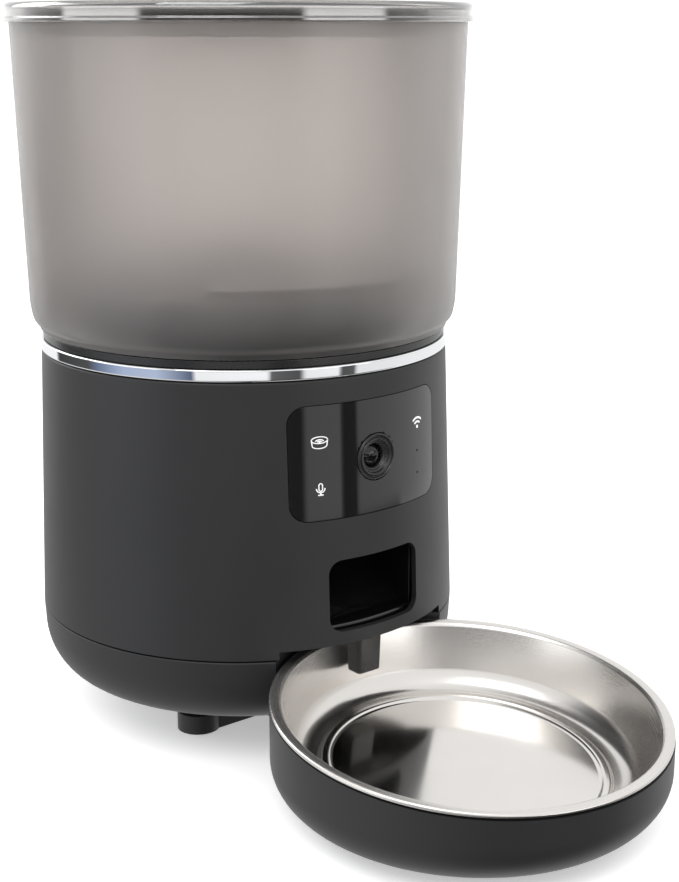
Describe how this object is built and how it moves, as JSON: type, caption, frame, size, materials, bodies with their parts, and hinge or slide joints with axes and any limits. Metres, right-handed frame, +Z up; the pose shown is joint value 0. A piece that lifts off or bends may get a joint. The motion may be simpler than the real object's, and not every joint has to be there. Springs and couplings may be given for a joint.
{
  "type": "automatic pet feeder",
  "caption": "Round automatic pet feeder: frosted food tank on a conical drive body with a camera panel and food mouth, docked to a round tray with a steel bowl.",
  "frame": {"origin": "centre of the whole footprint on the floor", "axes": "+Z up; the camera panel, food mouth and bowl face -Y; +X is the feeder's left-hand side seen from behind, and its right as seen from the front"},
  "size_m": [0.1962, 0.3237, 0.3069],
  "materials": {
    "matt_shell": "fine matt charcoal moulding",
    "black_plastic": "satin black moulding",
    "gloss_black": "high gloss black",
    "chrome": "bright chrome plating",
    "steel": "satin wall, bright rolled rim and polished floor",
    "smoked_clear": "clear smoked gloss",
    "frosted_smoke": "translucent smoke grey, finely frosted",
    "lens_glass": "dark coated lens",
    "rubber": "matt rubber",
    "silicone": "soft translucent grey",
    "grey_plastic": "plain grey moulding",
    "white_plastic": "natural acetal",
    "board_green": "solder-masked circuit board",
    "spring_steel": "plated steel"
  },
  "bodies": {
    "tray": {"bowl_tray": "matt_shell", "tray_pad_1": "rubber", "tray_pad_2": "rubber", "tray_pad_3": "rubber", "dock_pad_left": "rubber", "dock_pad_right": "rubber"},
    "bowl": {"steel_bowl": "steel"},
    "feeder": {"base_shell": "matt_shell", "battery_box": "black_plastic", "battery_contact_left": "spring_steel", "battery_contact_right": "spring_steel", "chassis_plate": "black_plastic", "base_screw_1": "spring_steel", "base_screw_2": "spring_steel", "base_screw_3": "spring_steel", "base_screw_4": "spring_steel", "front_foot_left": "rubber", "front_foot_right": "rubber", "rear_foot_left": "rubber", "rear_foot_right": "rubber", "speaker": "black_plastic", "body_shell": "matt_shell", "chrome_ring": "chrome", "top_deck": "black_plastic", "bowl_guard": "black_plastic", "food_chute": "gloss_black", "control_panel": "gloss_black", "camera_bezel": "black_plastic", "camera_lens": "lens_glass", "camera_barrel": "black_plastic", "camera_board": "board_green", "panel_board": "board_green", "main_board": "board_green", "dc_jack": "black_plastic", "gearbox_case": "grey_plastic", "gearbox_cover": "grey_plastic", "motor": "spring_steel"},
    "battery_cover": {"battery_door": "matt_shell"},
    "drive_shaft": {"output_shaft": "spring_steel", "drive_gear": "white_plastic"},
    "pinion": {"motor_pinion": "spring_steel"},
    "tank": {"food_tank": "frosted_smoke", "outlet_guard": "black_plastic"},
    "rotor": {"rotor": "black_plastic", "rotor_cap": "grey_plastic"},
    "lid": {"lid": "smoked_clear", "lid_seal": "silicone", "desiccant_box": "grey_plastic"},
    "desiccant_cover": {"desiccant_cover": "grey_plastic"}
  },
  "joints": [
    {"name": "feeder_lift", "type": "slide", "parent": "tray", "child": "feeder", "axis": [0, 0, 1], "range_m": [0, 0.15]},
    {"name": "bowl_lift", "type": "slide", "parent": "tray", "child": "bowl", "axis": [0, 0, 1], "range_m": [0, 0.06]},
    {"name": "battery_door_release", "type": "slide", "parent": "feeder", "child": "battery_cover", "axis": [0, 0, -1], "range_m": [0, 0.012]},
    {"name": "tank_lift", "type": "slide", "parent": "feeder", "child": "tank", "axis": [0, 0, 1], "range_m": [0, 0.12]},
    {"name": "lid_lift", "type": "slide", "parent": "tank", "child": "lid", "axis": [0, 0, 1], "range_m": [0, 0.1]},
    {"name": "desiccant_cover_turn", "type": "hinge", "parent": "lid", "child": "desiccant_cover", "pos_m": [0, 0.06385, 0.2896], "axis": [0, 0, 1], "range_deg": [0, 30]},
    {"name": "rotor_spin", "type": "hinge", "parent": "tank", "child": "rotor", "pos_m": [0, 0.06385, 0.1759], "axis": [0, 0, 1], "continuous": true},
    {"name": "shaft_spin", "type": "hinge", "parent": "feeder", "child": "drive_shaft", "pos_m": [0, 0.06385, 0.146], "axis": [0, 0, 1], "continuous": true},
    {"name": "pinion_spin", "type": "hinge", "parent": "feeder", "child": "pinion", "pos_m": [0, 0.09385, 0.141], "axis": [0, 0, 1], "continuous": true}
  ],
  "couplings": [
    {"joint": "bowl_lift", "follows": "feeder_lift", "ratio": 0.4},
    {"joint": "shaft_spin", "follows": "rotor_spin", "ratio": 1},
    {"joint": "pinion_spin", "follows": "rotor_spin", "ratio": -4}
  ]
}
